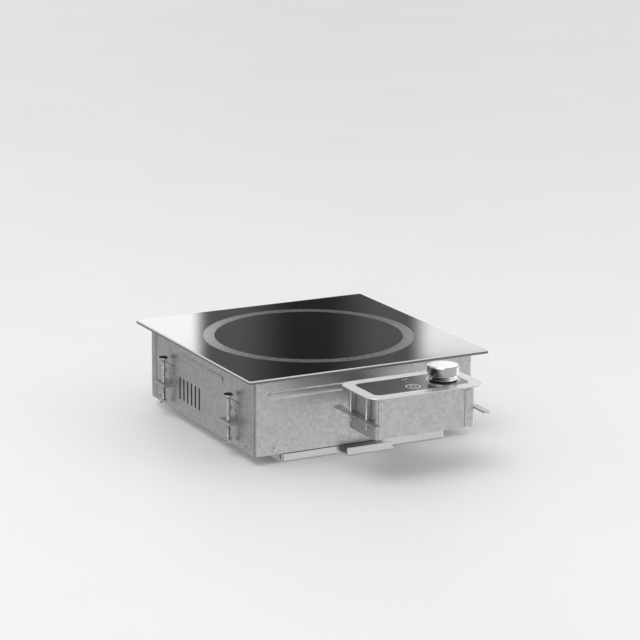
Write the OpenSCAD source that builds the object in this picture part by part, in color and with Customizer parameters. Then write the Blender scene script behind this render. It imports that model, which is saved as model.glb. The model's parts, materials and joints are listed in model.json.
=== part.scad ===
// Built-in induction hob with one cooking zone, and its separate control unit.
// Millimetres. The origin is the centre of the cooking surface, +Z is up,
// and -Y is towards the cook and the control unit.

/* [Glass] */
// Side of the square glass plate
glass_side = 350; // [345:1:360]
// Thickness of the glass
glass_t = 4; // [4:0.5:5]
// Corner radius of the glass in plan
glass_corner_r = 3; // [2.5:0.5:8]
// Bevel ground on the top edge of the glass
glass_bevel = 1.2; // [0.5:0.1:1.5]
// Outer diameter of the printed zone ring
zone_d = 282; // [270:1:300]
// Width of the printed zone ring
zone_band = 15; // [8:1:20]

/* [Worktop] */
// Compressed thickness of the sealing tape under the glass
seal_t = 0.8; // [0.5:0.1:1]
// Thickness of the worktop that the clamps hold
worktop_t = 30; // [25:1:31]

/* [Housing] */
// How far the glass overhangs the housing wall
glass_overhang = 16; // [15:0.5:17]
// Depth of the housing under its top flange
housing_depth = 100; // [98:1:110]
// Thickness of the sheet steel
sheet_t = 1; // [0.8:0.1:1.2]
// Height of the filter rails, which the housing stands on
rail_h = 12; // [11:0.5:16]
// Number of outlet slots in the rear wall
rear_slots = 15; // [9:2:15]
// Number of outlet slots in each side wall
side_slots = 6; // [3:1:6]

/* [Coil] */
// Outer diameter of the winding
coil_d = 268; // [250:1:270]
// Turns of the winding
coil_turns = 19; // [14:1:22]
// Number of ferrite bars under the coil
ferrite_count = 8; // [4:4:8]

/* [Fans] */
// Side of a fan frame
fan_side = 80; // [78:1:82]
// Height of a fan frame
fan_h = 25; // [24:1:27]
// Blades of a fan
fan_blades = 7; // [5:1:9]

/* [Control unit] */
// Width of the steel control plate
control_w = 166; // [165:0.5:172]
// Depth of the steel control plate, front to back
control_d = 89; // [88:0.5:98]
// Corner radius of the control plate
control_corner_r = 18; // [10:0.5:20]
// Thickness of the control plate
control_t = 1.5; // [1.2:0.1:2]
// Gap between the glass and the control plate
control_gap = 41.8; // [40:0.2:60]
// Sideways offset of the control unit from the centre of the hob
control_x = 9; // [-20:1:20]
// Width of the dark fascia
panel_w = 136; // [134:0.5:137]
// Depth of the dark fascia, front to back
panel_d = 59; // [58:0.5:60]
// Corner radius of the fascia
panel_corner_r = 9; // [5:0.5:10]
// Depth of the control box under the plate
box_h = 54; // [52:1:56]

/* [Knob] */
// Diameter of the knob's drum
knob_d = 40.4; // [39:0.2:43]
// Height of the knob's drum
knob_drum_h = 11.8; // [11:0.2:15]
// Diameter of the polished skirt under the drum
knob_skirt_d = 37; // [35:0.5:38]
// Height of the skirt
knob_skirt_h = 6.3; // [6:0.1:8]
// Sideways position of the knob on the fascia
knob_dx = 44.5; // [42:0.5:45]

/* [Hidden] */
$fn = 64;
cut = 1; // overshoot of a cutting shape past the face it cuts

// Levels below the cooking surface, which is z = 0
glass_bottom = -glass_t;
worktop_z = glass_bottom - seal_t;
adhesive_t = 1;
flange_top = glass_bottom - adhesive_t;
housing_bottom = flange_top - housing_depth;
base_z = housing_bottom - rail_h;
floor_z = housing_bottom + sheet_t; // inner face of the bottom cover
worktop_under = worktop_z - worktop_t;

// Plan of the hob
housing_w = glass_side - 2 * glass_overhang;
housing_in = housing_w - 2 * sheet_t;
fold_r = 3;
flange_opening = housing_w - 24;
seal_inset = 2;
seal_w = 12;
marking_t = 0.1;

// Coil stack, from the glass down
insulation_t = 2;
coil_top = glass_bottom - insulation_t;
coil_t = 5;
coil_hole_r = 30;
carrier_t = 4;
carrier_top = coil_top - coil_t;
carrier_bottom = carrier_top - carrier_t;
carrier_r = coil_d / 2 + 6;
carrier_hole_r = 14;
ferrite_t = 6;
shield_t = 1.5;
shield_gap = 11; // from the carrier down to the shield
shield_top = carrier_bottom - shield_gap;
shield_w = 300;
lead_r = 2.5;
lead_dx = 7;
lead_y = 62;

// Electronics on the bottom cover
standoff_h = 8;
board_t = 1.6;
board_z = floor_z + standoff_h;
board_top = board_z + board_t;
board_w = 290;
board_d = 160;
board_y = 62;
module_h = 12;
sink_x = 70;
sink_y = 20;
sink_h = 38;

// Fans and filter
fan_x = 66;
fan_y = -80;
fan_bore_r = fan_side / 2 - 2;
fan_hub_r = 17;
fan_axle_r = 1.5;
axle_fit = 0.04; // radial clearance of a running fit
rail_x = 120;
rail_len = 300;
rail_t = 1.2;
rail_lip = 14;
slide_gap = 0.3;
filter_w = 2 * (rail_x - rail_t - slide_gap);
filter_len = 170;
filter_y = -73;
filter_t = rail_h - 2 * rail_t - 2 * slide_gap;
filter_z = base_z + rail_t + slide_gap;

// Clamps at the side walls
clamp_x = housing_w / 2 + 9;
clamp_y = 100;
clamp_lug_z = flange_top - 65;
clamp_r = 3;
screw_r = 1.5; // the small pan-head screws

// Mains inlet in the rear wall
gland_x = -118;
gland_z = floor_z + 28;
gland_bore_r = 6.5;

// Control unit
control_y = -(glass_side / 2 + control_gap + control_d / 2);
gasket_t = 0.5;
plate_bottom = worktop_z + gasket_t;
plate_top = plate_bottom + control_t;
fascia_top = plate_top - 0.3;
fascia_flange_t = 2;
box_w = panel_w + 8;
box_d = panel_d + 8;
box_wall = 1.5;
box_bottom = plate_bottom - box_h;
stud_x = 76;
stud_y = 20;
stud_r = 2;
strap_t = 2;
cboard_z = plate_bottom - 15.7;
cboard_top = cboard_z + board_t;
key_x = -5.2;
key_y = -11;
key_r = 9.5;
icon_x = 1;
icon_y = 22;
dot_x = -3.2;
dot_y = 8.9;

// Knob and encoder, in the control unit's own plan
shaft_r = 3;
knob_gap = 1.2;
skirt_z = fascia_top + knob_gap;
drum_z = skirt_z + knob_skirt_h + 0.6;
knob_bevel = 1.4;
bushing_r = 4.5;
encoder_h = 7;
shaft_bottom = cboard_top + 2;

// Link between the two housings
link_w = 40;
link_h = 18;
link_t = 1.2;
link_z = flange_top - 51;
link_y0 = control_y + box_d / 2;
link_y1 = -housing_w / 2;
wire_r = 3.5;
wire_z = link_z + 10;

sides = [-1, 1]; // the two sides of a mirrored pair

// ---------- shared shapes ----------

module rounded_rect(w, d, r) {
    square([w - 2 * r, d], center = true);
    square([w, d - 2 * r], center = true);
    for (sx = sides, sy = sides)
        translate([sx * (w / 2 - r), sy * (d / 2 - r)]) circle(r);
}

module rounded_plate(w, d, t, r) {
    linear_extrude(t) rounded_rect(w, d, r);
}

// Plate whose top edge is bevelled by b all round
module bevelled_plate(w, d, t, r, b) {
    rounded_plate(w, d, t - b, r);
    translate([0, 0, t - b]) {
        rotate([90, 0, 90]) linear_extrude(w - 2 * r, center = true)
            polygon([[-d / 2, 0], [d / 2, 0], [d / 2 - b, b], [-d / 2 + b, b]]);
        rotate([90, 0, 0]) linear_extrude(d - 2 * r, center = true)
            polygon([[-w / 2, 0], [w / 2, 0], [w / 2 - b, b], [-w / 2 + b, b]]);
        for (sx = sides, sy = sides)
            translate([sx * (w / 2 - r), sy * (d / 2 - r), 0]) cylinder(h = b, r1 = r, r2 = r - b);
    }
}

// Rectangular frame between two rounded outlines
module plate_frame(w, d, t, r, w_in, d_in, r_in) {
    difference() {
        rounded_plate(w, d, t, r);
        translate([0, 0, -cut]) rounded_plate(w_in, d_in, t + 2 * cut, r_in);
    }
}

module ring(ro, ri, h) {
    difference() {
        cylinder(h = h, r = ro);
        translate([0, 0, -cut]) cylinder(h = h + 2 * cut, r = ri);
    }
}

// Helical compression spring standing on z = 0
module spring(r, wire, h, turns) {
    linear_extrude(height = h, twist = -360 * turns, slices = 14 * turns, $fn = 6)
        translate([r, 0]) circle(wire);
}

module hex_nut(across, h, hole_r) {
    difference() {
        cylinder(h = h, r = across / 2 / cos(30), $fn = 6);
        translate([0, 0, -cut]) cylinder(h = h + 2 * cut, r = hole_r);
    }
}

// Pan-head screw along +Z, with its head above z = 0
module pan_screw(r, len) {
    difference() {
        union() {
            cylinder(h = 0.6 * r, r = 2 * r);
            translate([0, 0, 0.6 * r]) cylinder(h = 0.5 * r, r1 = 2 * r, r2 = 1.4 * r);
        }
        for (a = [0, 90]) rotate(a)
            translate([-1.1 * r, -0.2 * r, 0.5 * r]) cube([2.2 * r, 0.4 * r, r]);
    }
    translate([0, 0, -len]) cylinder(h = len, r = r);
}

module in_control() {
    translate([control_x, control_y, 0]) children();
}

module in_knob() {
    in_control() translate([knob_dx, 0, 0]) children();
}

// ---------- glass and seal ----------

module glass_plate() {
    color("#15171a") difference() {
        translate([0, 0, glass_bottom])
            bevelled_plate(glass_side, glass_side, glass_t, glass_corner_r, glass_bevel);
        translate([0, 0, -marking_t]) ring(zone_d / 2, zone_d / 2 - zone_band, cut);
    }
}

module zone_marking() {
    color("#8b8d90") translate([0, 0, -marking_t])
        ring(zone_d / 2, zone_d / 2 - zone_band, marking_t);
}

module worktop_seal() {
    outer = glass_side - 2 * seal_inset;
    inner = outer - 2 * seal_w;
    color("#2b2b2b") translate([0, 0, worktop_z])
        plate_frame(outer, outer, seal_t, glass_corner_r, inner, inner, 1);
}

module glass_adhesive() {
    outer = housing_w - 3;
    color("#3a3a3a") translate([0, 0, flange_top])
        plate_frame(outer, outer, adhesive_t, fold_r, flange_opening + 3, flange_opening + 3, 1);
}

// ---------- coil stack ----------

module insulation_sheet() {
    color("#e6e0d2") translate([0, 0, coil_top]) ring(carrier_r, 10, insulation_t);
}

// Flat litz winding: the scalloped section shows the turns side by side
module coil_winding() {
    pitch = (coil_d / 2 - coil_hole_r) / coil_turns;
    color("#b5651d") translate([0, 0, carrier_top]) rotate_extrude() {
        for (i = [0 : coil_turns - 1])
            translate([coil_hole_r + (i + 0.5) * pitch, coil_t / 2])
                square([0.88 * pitch, coil_t], center = true);
        translate([coil_hole_r + 0.2, 1]) square([coil_d / 2 - coil_hole_r - 0.4, coil_t - 2]);
    }
}

module coil_carrier() {
    rim_t = 2;
    color("#d9d4c6") difference() {
        union() {
            translate([0, 0, carrier_bottom]) ring(carrier_r, carrier_hole_r, carrier_t);
            translate([0, 0, carrier_bottom]) ring(carrier_r, carrier_r - rim_t, carrier_t + coil_t);
            translate([0, 0, carrier_bottom])
                ring(coil_hole_r - 2, coil_hole_r - 4, carrier_t + coil_t);
        }
        for (sx = sides) translate([sx * lead_dx, lead_y, carrier_bottom - cut])
            cylinder(h = carrier_t + 2 * cut, r = lead_r + 0.5);
    }
}

module ferrite_bars() {
    step = 360 / ferrite_count;
    color("#3c3c40") for (i = [0 : ferrite_count - 1]) rotate((i + 0.5) * step)
        translate([40, -7, carrier_bottom - ferrite_t]) cube([86, 14, ferrite_t]);
}

module carrier_springs() {
    color("#c8c8c8") for (a = [0 : 90 : 270]) rotate(a)
        translate([110, 0, shield_top]) spring(4.5, 0.6, shield_gap, 4);
}

module temp_sensor() {
    cap_h = 5;
    color("#eeeae0") union() {
        translate([0, 0, glass_bottom - cap_h]) cylinder(h = cap_h, r = 9);
        translate([0, 0, shield_top - 10]) cylinder(h = glass_bottom - cap_h - shield_top + 10, r = 3);
    }
}

module sensor_spring() {
    color("#c8c8c8") translate([0, 0, shield_top])
        spring(5.2, 0.6, glass_bottom - 5 - shield_top, 5);
}

module coil_shield() {
    color("#c3c7cb") difference() {
        translate([0, 0, shield_top - shield_t]) rounded_plate(shield_w, shield_w, shield_t, 6);
        translate([0, 0, shield_top - shield_t - cut]) {
            cylinder(h = shield_t + 2 * cut, r = 3.6);
            for (sx = sides) translate([sx * lead_dx, lead_y, 0])
                cylinder(h = shield_t + 2 * cut, r = lead_r + 1);
            for (a = [45 : 90 : 315]) rotate(a) translate([195, 0, 0])
                cylinder(h = shield_t + 2 * cut, r = 2.2);
        }
    }
}

module coil_leads() {
    color("#8a2f2f") for (sx = sides) translate([sx * lead_dx, lead_y, board_top])
        cylinder(h = carrier_top - board_top, r = lead_r);
}

// ---------- housing ----------

module housing_shell() {
    slot_w = 4;
    slot_h = 30;
    slot_z = flange_top - 66;
    color("#c9ccd0") difference() {
        union() {
            difference() {
                translate([0, 0, housing_bottom])
                    rounded_plate(housing_w, housing_w, housing_depth, fold_r);
                translate([0, 0, housing_bottom - cut])
                    rounded_plate(housing_in, housing_in, housing_depth - sheet_t + cut, fold_r - sheet_t);
                translate([0, 0, flange_top - 2 * sheet_t])
                    rounded_plate(flange_opening, flange_opening, 3 * sheet_t, fold_r);
            }
            // ledges that carry the shield at its corners
            for (sx = sides, sy = sides)
                translate([sx * (housing_in / 2 - 9.5), sy * (housing_in / 2 - 20), shield_top - shield_t])
                    translate([0, 0, -1]) cube([20, 30, 2], center = true);
        }
        // outlet slots
        for (i = [0 : rear_slots - 1])
            translate([(i - (rear_slots - 1) / 2) * 12 + 24, housing_w / 2, slot_z])
                cube([slot_w, 2 * sheet_t + 2 * cut, slot_h], center = true);
        for (i = [0 : side_slots - 1], sx = sides)
            translate([sx * housing_w / 2, (i - (side_slots - 1) / 2) * 12 + 36, slot_z])
                cube([2 * sheet_t + 2 * cut, slot_w, slot_h], center = true);
        // mains gland
        translate([gland_x, housing_w / 2, gland_z]) rotate([90, 0, 0])
            cylinder(h = 6 * sheet_t, r = 10, center = true);
        // control lead
        translate([control_x, link_y1, wire_z]) rotate([90, 0, 0])
            cylinder(h = 6 * sheet_t, r = 6, center = true);
        // screw holes for the cover, the clamps and the link channel
        cover_screw_places() cylinder(h = 6 * sheet_t, r = screw_r, center = true);
        clamp_places() clamp_screw_places() cylinder(h = 8 * sheet_t, r = screw_r, center = true);
        link_screw_places(link_y1, -1) cylinder(h = 6 * sheet_t, r = screw_r, center = true);
    }
}

module bottom_cover() {
    flange_h = 14;
    outer = housing_in - 0.4;
    slots = 4; // intake slots each side of the middle one
    pitch = 8;
    color("#b9bcc0") difference() {
        union() {
            translate([0, 0, housing_bottom]) rounded_plate(outer, outer, sheet_t, 2);
            translate([0, 0, housing_bottom])
                plate_frame(outer, outer, flange_h, 2, outer - 2 * sheet_t, outer - 2 * sheet_t, 1);
        }
        for (sx = sides, k = [-slots : slots])
            translate([sx * fan_x + k * pitch, fan_y, housing_bottom])
                cube([4.5, 2 * sqrt(36 * 36 - k * k * pitch * pitch), 4 * sheet_t], center = true);
        cover_screw_places() cylinder(h = 8 * sheet_t, r = screw_r, center = true);
    }
}

module filter_rail() {
    rotate([90, 0, 0]) linear_extrude(rail_len, center = true) {
        square([rail_t, rail_h]);
        translate([-rail_lip + rail_t, 0]) square([rail_lip, rail_t]);
        translate([-rail_lip + rail_t, rail_h - rail_t]) square([rail_lip, rail_t]);
    }
}

module filter_rails() {
    color("#c9ccd0") for (m = [0, 1]) mirror([m, 0, 0])
        translate([rail_x - rail_t, 0, base_z]) filter_rail();
}

module filter_frame() {
    border = 9;
    window = (filter_w - 3 * border) / 2;
    color("#d2d5d8") union() {
        translate([0, filter_y, filter_z]) difference() {
            rounded_plate(filter_w, filter_len, filter_t, 2);
            for (sx = sides) translate([sx * (window + border) / 2, 0, -cut])
                rounded_plate(window, filter_len - 2 * border, filter_t + 2 * cut, 2);
        }
        // pull lip
        translate([0, filter_y - filter_len / 2 - 6, filter_z]) rounded_plate(70, 16, 1.5, 2);
        translate([-35 + 2, filter_y - filter_len / 2 - 14, filter_z]) cube([66, 1.5, filter_t]);
    }
}

module filter_mesh() {
    border = 9;
    window = (filter_w - 3 * border) / 2;
    color("#9ea2a6") for (sx = sides)
        translate([sx * (window + border) / 2, filter_y, filter_z + 1.5]) difference() {
            rounded_plate(window, filter_len - 2 * border, filter_t - 3, 2);
            for (i = [-5 : 5]) translate([i * 9, 0, 0])
                cube([4, filter_len - 4 * border, 3 * filter_t], center = true);
        }
}

// ---------- fans ----------

module fan_frame() {
    boss_r = 14;
    color("#26282b") difference() {
        union() {
            difference() {
                rounded_plate(fan_side, fan_side, fan_h, 4);
                translate([0, 0, -cut]) cylinder(h = fan_h + 2 * cut, r = fan_bore_r);
            }
            cylinder(h = 4, r = boss_r);
            cylinder(h = 14, r = 4);
            for (a = [0, 90, 180, 270]) rotate(a + 45)
                translate([boss_r - 2, -1.5, 0]) cube([fan_bore_r - boss_r + 3, 3, 3]);
        }
        translate([0, 0, 2]) cylinder(h = 14, r = fan_axle_r + axle_fit);
        for (sx = sides, sy = sides)
            translate([sx * (fan_side / 2 - 4.3), sy * (fan_side / 2 - 4.3), -cut])
                cylinder(h = fan_h + 2 * cut, r = 2.1);
    }
}

module fan_impeller() {
    blade_z = 6;
    blade_h = fan_h - 9;
    tip_r = fan_bore_r - 1.5;
    color("#34373b") union() {
        difference() {
            translate([0, 0, blade_z]) cylinder(h = blade_h, r = fan_hub_r);
            translate([0, 0, blade_z - cut]) cylinder(h = blade_h - 2 + cut, r = fan_hub_r - 2);
        }
        translate([0, 0, 2.3]) cylinder(h = blade_z + blade_h - 3, r = fan_axle_r);
        for (i = [0 : fan_blades - 1]) rotate(i * 360 / fan_blades) intersection() {
            translate([0, 0, blade_z + 1]) ring(tip_r, fan_hub_r - 1, blade_h - 2);
            translate([fan_hub_r - 4, 0, blade_z + blade_h / 2]) rotate([52, 0, 0])
                translate([0, -blade_h, -0.8]) cube([tip_r, 2 * blade_h, 1.6]);
        }
    }
}

module fan_frame_left() { translate([-fan_x, fan_y, floor_z]) fan_frame(); }
module fan_frame_right() { translate([fan_x, fan_y, floor_z]) fan_frame(); }
module fan_impeller_left() { translate([-fan_x, fan_y, floor_z]) fan_impeller(); }
module fan_impeller_right() { translate([fan_x, fan_y, floor_z]) fan_impeller(); }

// Hood over the fans, open towards the heat sinks
module air_duct() {
    w = 2 * fan_x + fan_side + 12;
    d = fan_side + 14;
    h = fan_h + 18;
    t = 2;
    color("#33363a") translate([0, fan_y, floor_z]) difference() {
        translate([-w / 2, -d / 2, 0]) cube([w, d, h]);
        translate([-w / 2 + t, -d / 2 + t, -cut]) cube([w - 2 * t, d, h - t + cut]);
    }
}

// ---------- electronics ----------

module standoff_places() {
    for (x = [-1, 0, 1], y = sides)
        translate([x * (board_w / 2 - 6), board_y + y * (board_d / 2 - 6), 0]) children();
}

module control_board_places() {
    in_control() for (x = sides, y = sides)
        translate([x * 60, y * 24, 0]) children();
}

module power_board() {
    color("#2e6b3c") difference() {
        translate([0, board_y, board_z]) rounded_plate(board_w, board_d, board_t, 3);
        standoff_places() translate([0, 0, board_z - cut]) cylinder(h = board_t + 2 * cut, r = 1.6);
    }
}

module board_standoffs() {
    color("#d0b060") {
        standoff_places() translate([0, 0, floor_z]) {
            cylinder(h = standoff_h, r = 3.4, $fn = 6);
            cylinder(h = standoff_h + board_t, r = 1.5);
            translate([0, 0, standoff_h + board_t]) cylinder(h = 1.8, r = 2.8);
        }
        control_board_places() translate([0, 0, cboard_top]) {
            cylinder(h = plate_bottom - fascia_flange_t - cboard_top, r = 2.6);
            translate([0, 0, -board_t]) cylinder(h = board_t, r = 1.5);
            translate([0, 0, -board_t - 1.8]) cylinder(h = 1.8, r = 2.8);
        }
    }
}

module power_modules() {
    color("#202225") for (sx = sides) translate([sx * sink_x, sink_y, board_top]) difference() {
        rounded_plate(62, 36, module_h, 2);
        for (s = sides) translate([s * 27, 0, -cut]) cylinder(h = module_h + 2 * cut, r = 2.1);
    }
}

module heat_sink() {
    w = 100;
    d = 70;
    fins = 13;
    base = 5;
    color("#b8bcc0") translate([0, 0, board_top + module_h]) rotate([90, 0, 0])
        linear_extrude(d, center = true) {
            translate([-w / 2, 0]) square([w, base]);
            for (i = [0 : fins - 1])
                translate([-w / 2 + i * (w - 1.6) / (fins - 1), 0]) square([1.6, sink_h]);
        }
}

module heat_sink_left() { translate([-sink_x, sink_y, 0]) heat_sink(); }
module heat_sink_right() { translate([sink_x, sink_y, 0]) heat_sink(); }

module bus_capacitors() {
    color("#d8d2b8") for (i = [-1, 0, 1]) translate([20 + i * 50, 92, board_top])
        rounded_plate(42, 24, 37, 1.5);
}

module choke_core() {
    color("#4a4d52") translate([118, 92, board_top + 2.5]) ring(20, 11, 14);
}

module choke_winding() {
    turns = 12;
    color("#b5651d") translate([118, 92, board_top + 2.5]) for (i = [0 : turns - 1])
        rotate(i * 360 / turns) translate([15.5, 0, 7]) rotate([90, 0, 0]) difference() {
            cube([13, 17, 1.8], center = true);
            cube([10, 14, 3], center = true);
        }
}

module terminal_block() {
    poles = 5;
    color("#e8e6dc") translate([-112, 96, board_top]) difference() {
        translate([-27, -11, 0]) cube([54, 22, 20]);
        for (i = [0 : poles - 1]) {
            translate([-20 + i * 10, 2, 6]) cylinder(h = 20, r = 3);
            translate([-20 + i * 10, 0, 8]) rotate([-90, 0, 0]) cylinder(h = 20, r = 2.6);
        }
    }
}

module earth_stud() {
    color("#c9a24a") translate([-148, 118, floor_z]) {
        cylinder(h = 16, r = 2.5);
        translate([0, 0, 4]) hex_nut(8, 4, 2.5);
    }
}

// Cable gland clamped through the rear wall: body, lock nut inside and dome nut
module mains_gland() {
    color("#8f9296") translate([gland_x, housing_w / 2, gland_z]) rotate([-90, 0, 0]) difference() {
        union() {
            translate([0, 0, -sheet_t - 6]) cylinder(h = sheet_t + 6, r = 9.8);
            translate([0, 0, -sheet_t - 5]) cylinder(h = 5, r = 13.5, $fn = 6);
            cylinder(h = 6, r = 13, $fn = 6);
            translate([0, 0, 6]) cylinder(h = 10, r = 10.5);
            translate([0, 0, 16]) cylinder(h = 3, r1 = 10.5, r2 = 9);
        }
        translate([0, 0, -sheet_t - 6 - cut]) cylinder(h = 40, r = gland_bore_r);
    }
}

// ---------- clamps and fasteners ----------

module clamp_screw_places() {
    for (s = sides) translate([housing_w / 2 + 1.5, s * 9, clamp_lug_z + 14])
        rotate([0, 90, 0]) children();
}

// The two screws at each end of the link channel; dir is the way that their heads point
module link_screw_places(y, dir) {
    for (s = sides) translate([control_x + s * (link_w / 2 + 7), y, link_z + link_h / 2])
        rotate([-90 * dir, 0, 0]) children();
}

module cover_screw_places() {
    for (a = [0 : 90 : 270], s = sides) rotate(a)
        translate([housing_w / 2, s * 130, housing_bottom + 8]) rotate([0, 90, 0]) children();
}

module clamp_bracket() {
    plate_h = 26;
    t = 1.5;
    color("#c9ccd0") difference() {
        union() {
            translate([housing_w / 2, -15, clamp_lug_z - t]) cube([t, 30, plate_h]);
            translate([housing_w / 2, -15, clamp_lug_z - 4]) cube([15, 30, 4]);
        }
        translate([clamp_x, 0, clamp_lug_z - 6]) cylinder(h = 8, r = clamp_r + axle_fit);
        clamp_screw_places() translate([0, 0, -cut]) cylinder(h = 4 * t, r = screw_r, center = true);
    }
}

module clamp_places() {
    for (sy = sides, m = [0, 1]) mirror([m, 0, 0]) translate([0, sy * clamp_y, 0]) children();
}

module clamp_brackets() {
    clamp_places() clamp_bracket();
}

// Jack screw with its pressure foot, tight against the underside of the worktop
module clamp_screw() {
    foot_h = 4;
    len = 60;
    color("#3b3d40") translate([clamp_x, 0, worktop_under - foot_h]) cylinder(h = foot_h, r = 6.5);
    color("#d4d6d8") translate([clamp_x, 0, worktop_under - foot_h - len]) {
        cylinder(h = len, r = clamp_r);
        cylinder(h = 5, r = 5.6, $fn = 6);
    }
}

module clamp_screw_left_front() { mirror([1, 0, 0]) translate([0, -clamp_y, 0]) clamp_screw(); }
module clamp_screw_left_rear() { mirror([1, 0, 0]) translate([0, clamp_y, 0]) clamp_screw(); }
module clamp_screw_right_front() { translate([0, -clamp_y, 0]) clamp_screw(); }
module clamp_screw_right_rear() { translate([0, clamp_y, 0]) clamp_screw(); }

module housing_screws() {
    color("#e0e2e4") {
        cover_screw_places() pan_screw(screw_r, 4);
        clamp_places() clamp_screw_places() pan_screw(screw_r, 4);
        link_screw_places(link_y1 - link_t, -1) pan_screw(screw_r, 4);
        link_screw_places(link_y0 + link_t, 1) pan_screw(screw_r, 4);
    }
}

// ---------- control unit ----------

module control_plate() {
    stud_len = worktop_t + 12;
    edge = 0.5;
    color("#d6d6d4") in_control() union() {
        difference() {
            translate([0, 0, plate_bottom])
                bevelled_plate(control_w, control_d, control_t, control_corner_r, edge);
            translate([0, 0, plate_bottom - cut])
                rounded_plate(panel_w, panel_d, control_t + 2 * cut, panel_corner_r);
        }
        for (sx = sides, sy = sides) translate([sx * stud_x, sy * stud_y, plate_bottom - stud_len])
            cylinder(h = stud_len, r = stud_r);
    }
}

module control_gasket() {
    color("#232323") in_control() translate([0, 0, worktop_z]) difference() {
        rounded_plate(control_w - 2.4, control_d - 2.4, gasket_t, control_corner_r - 1.2);
        translate([0, 0, -cut])
            rounded_plate(control_w - 8, control_d - 8, gasket_t + 2 * cut, control_corner_r - 4);
    }
}

module panel_fascia() {
    fit = 0.25;
    color("#3a3c40") in_control() difference() {
        union() {
            translate([0, 0, plate_bottom]) rounded_plate(
                panel_w - 2 * fit, panel_d - 2 * fit, fascia_top - plate_bottom, panel_corner_r - fit);
            translate([0, 0, plate_bottom - fascia_flange_t])
                rounded_plate(panel_w + 4, panel_d + 4, fascia_flange_t, panel_corner_r);
        }
        translate([knob_dx, 0, plate_bottom - fascia_flange_t - cut]) cylinder(h = 8, r = bushing_r + 0.2);
        translate([0, 0, fascia_top - marking_t]) key_outline(cut);
    }
}

// Printed key ring with its on/off sign, a pan sign and a dot
module key_outline(h) {
    line = 0.7;
    ring_line = 1.1;
    translate([key_x, key_y, 0]) {
        ring(key_r, key_r - ring_line, h);
        difference() {
            ring(4, 4 - line, h);
            translate([-1.3, 0, -cut]) cube([2.6, 6, h + 2 * cut]);
        }
        translate([-line / 2, 1.2, 0]) cube([line, 4, h]);
    }
    translate([icon_x, icon_y, 0]) {
        translate([-3, -1.4, 0]) cube([6, line, h]);
        translate([-3, -1.4, 0]) cube([line, 3, h]);
        translate([3 - line, -1.4, 0]) cube([line, 3, h]);
        translate([3, 0.9, 0]) cube([3, line, h]);
    }
    translate([dot_x, dot_y, 0]) cylinder(h = h, r = 0.7);
}

module key_marking() {
    color("#f2f2f0") in_control() translate([0, 0, fascia_top - marking_t]) key_outline(marking_t);
}

module display_module() {
    digits = 3;
    h = 7;
    color("#1a1a1c") in_control() translate([-30, 12, cboard_top]) difference() {
        rounded_plate(42, 19, h, 0.8);
        for (i = [0 : digits - 1]) translate([(i - 1) * 12.5 - 3.5, -5.5, h - 0.4])
            cube([7, 11, cut]);
    }
}

module touch_sensor() {
    color("#6d6f73") in_control() translate([key_x, key_y, cboard_top])
        cylinder(h = plate_bottom - fascia_flange_t - cboard_top, r = 7);
}

module control_box() {
    color("#a9acb0") difference() {
        in_control() difference() {
            translate([0, 0, box_bottom]) rounded_plate(box_w, box_d, box_h, 4);
            translate([0, 0, box_bottom + box_wall])
                rounded_plate(box_w - 2 * box_wall, box_d - 2 * box_wall, box_h, 2.5);
            translate([0, box_d / 2, wire_z]) rotate([90, 0, 0])
                cylinder(h = 6 * box_wall, r = 6, center = true);
            for (i = [-5 : 5]) translate([i * 9, 0, box_bottom])
                cube([3, 30, 4 * box_wall], center = true);
        }
        link_screw_places(link_y0, 1) cylinder(h = 6 * box_wall, r = screw_r, center = true);
    }
}

module control_board() {
    color("#2e6b3c") difference() {
        in_control() translate([0, 0, cboard_z]) rounded_plate(132, 58, board_t, 3);
        control_board_places() translate([0, 0, cboard_z - cut]) cylinder(h = board_t + 2 * cut, r = 1.6);
    }
}

module control_straps() {
    strap_w = 9;
    strap_len = 108;
    color("#c9ccd0") in_control() for (sx = sides) difference() {
        translate([sx * (stud_x + 1.5), 0, worktop_under - strap_t])
            rounded_plate(strap_w, strap_len, strap_t, 2);
        for (sy = sides) translate([sx * stud_x, sy * stud_y, worktop_under - strap_t - cut])
            cylinder(h = strap_t + 2 * cut, r = stud_r);
    }
}

module strap_nuts() {
    nut_h = 3.2;
    color("#e0e2e4") in_control() for (sx = sides, sy = sides)
        translate([sx * stud_x, sy * stud_y, worktop_under - strap_t - nut_h]) hex_nut(6.4, nut_h, stud_r);
}

// ---------- knob and encoder ----------

module knob_collar() {
    color("#e4e4e2") in_knob() translate([0, 0, fascia_top]) ring(knob_d / 2 + 1, knob_d / 2 - 0.4, 0.5);
}

module knob_skirt() {
    ri = knob_skirt_d / 2 - 3;
    ro = knob_skirt_d / 2;
    color("#e8e8ea") in_knob() difference() {
        translate([0, 0, skirt_z]) rotate_extrude()
            polygon([[ri, 0], [ro - 1.2, 0], [ro - 0.5, 0.6], [ro, 2.4], [ro, knob_skirt_h - 1.2],
                [ro - 0.6, knob_skirt_h], [ro - 0.6, knob_skirt_h + 0.6], [ri, knob_skirt_h + 0.6]]);
        translate([0, ro - 4, skirt_z + 3.4]) rotate([-90, 0, 0]) cylinder(h = 8, r = 1.5);
    }
}

module knob_drum() {
    r = knob_d / 2;
    roof = 3;
    boss_r = 7;
    color("#cfcfce") in_knob() difference() {
        translate([0, 0, drum_z]) rotate_extrude() polygon([
            [0, 0], [r - 0.5, 0], [r, 0.5], [r, knob_drum_h - knob_bevel],
            [r - knob_bevel, knob_drum_h], [r - knob_bevel - 1.2, knob_drum_h],
            [r - knob_bevel - 1.6, knob_drum_h - 0.3], [0, knob_drum_h - 0.3]]);
        translate([0, 0, drum_z - cut]) difference() {
            cylinder(h = knob_drum_h - roof + cut, r = r - 6);
            cylinder(h = knob_drum_h - roof + cut, r = boss_r);
        }
        translate([0, 0, drum_z - cut]) cylinder(h = knob_drum_h - roof, r = shaft_r);
    }
}

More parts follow.
